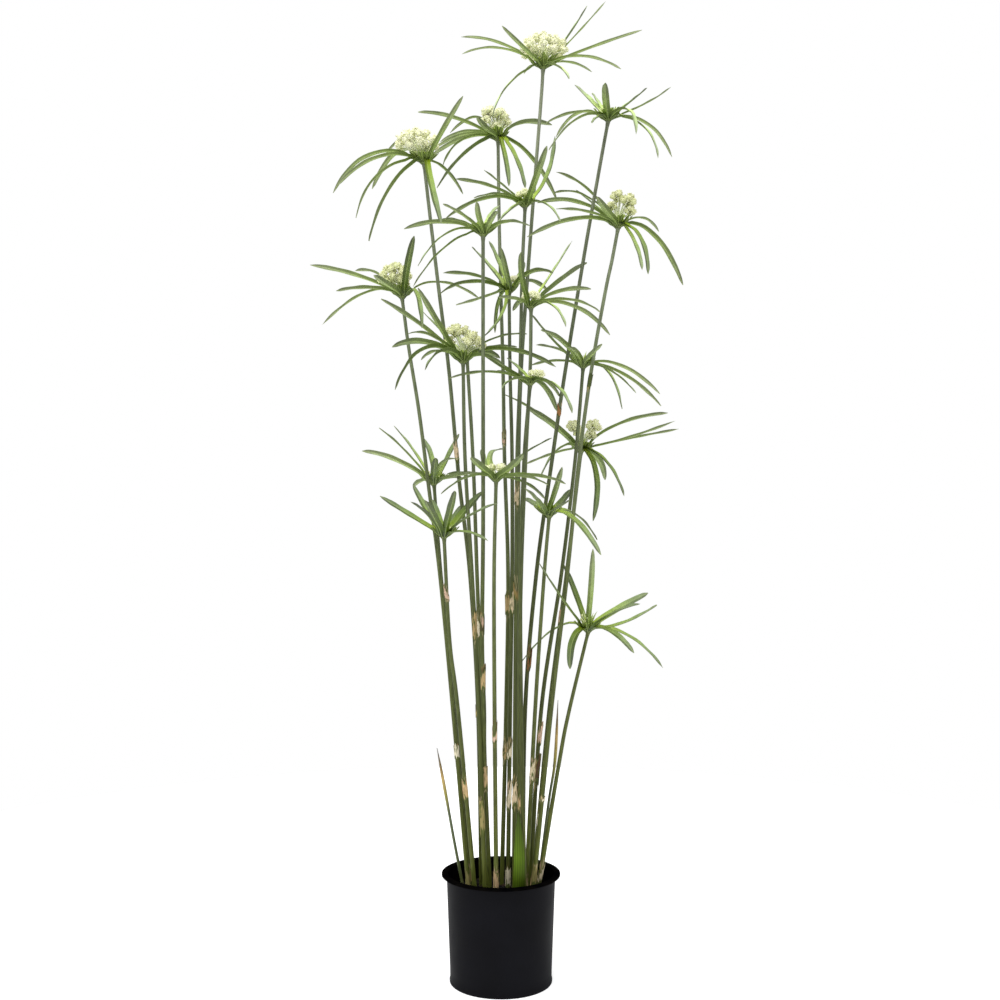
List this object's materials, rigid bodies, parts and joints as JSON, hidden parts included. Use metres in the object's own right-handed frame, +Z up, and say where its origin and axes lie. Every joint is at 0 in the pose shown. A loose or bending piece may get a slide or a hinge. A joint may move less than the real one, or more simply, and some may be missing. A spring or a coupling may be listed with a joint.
{
  "type": "potted papyrus plant",
  "caption": "Tall papyrus plant in a plain round pot: thin upright stems, each topped by a whorl of long narrow leaves, most with a pale flower head.",
  "frame": {"origin": "middle of the pot's flat underside, on the surface that it stands on", "axes": "+Z up along the pot's axis, -Y towards the front, +X to the right seen from the front"},
  "size_m": [0.5859, 0.4437, 1.5308],
  "materials": {
    "pot": "satin",
    "soil": "matte",
    "stem": "satin",
    "leaf": "satin",
    "flower": "matte",
    "shoot": "satin",
    "blade": "satin"
  },
  "bodies": {
    "root": {"pot": "pot", "soil": "soil", "stem_01": "stem", "leaf_whorl_01": "leaf", "flower_head_01": "flower", "stem_02": "stem", "leaf_whorl_02": "leaf", "stem_03": "stem", "leaf_whorl_03": "leaf", "flower_head_03": "flower", "stem_04": "stem", "leaf_whorl_04": "leaf", "flower_head_04": "flower", "stem_05": "stem", "leaf_whorl_05": "leaf", "flower_head_05": "flower", "stem_06": "stem", "leaf_whorl_06": "leaf", "stem_07": "stem", "leaf_whorl_07": "leaf", "flower_head_07": "flower", "stem_08": "stem", "leaf_whorl_08": "leaf", "flower_head_08": "flower", "stem_09": "stem", "leaf_whorl_09": "leaf", "flower_head_09": "flower", "stem_10": "stem", "leaf_whorl_10": "leaf", "flower_head_10": "flower", "stem_11": "stem", "leaf_whorl_11": "leaf", "flower_head_11": "flower", "stem_12": "stem", "leaf_whorl_12": "leaf", "stem_13": "stem", "leaf_whorl_13": "leaf", "flower_head_13": "flower", "stem_14": "stem", "leaf_whorl_14": "leaf", "flower_head_14": "flower", "stem_15": "stem", "leaf_whorl_15": "leaf", "stem_16": "stem", "leaf_whorl_16": "leaf", "flower_head_16": "flower", "stem_17": "stem", "leaf_whorl_17": "leaf", "stem_18": "stem", "leaf_whorl_18": "leaf", "stem_19": "stem", "leaf_whorl_19": "leaf", "stem_20": "stem", "leaf_whorl_20": "leaf", "shoot_left": "shoot", "shoot_right": "shoot", "base_blade": "blade"}
  },
  "joints": []
}
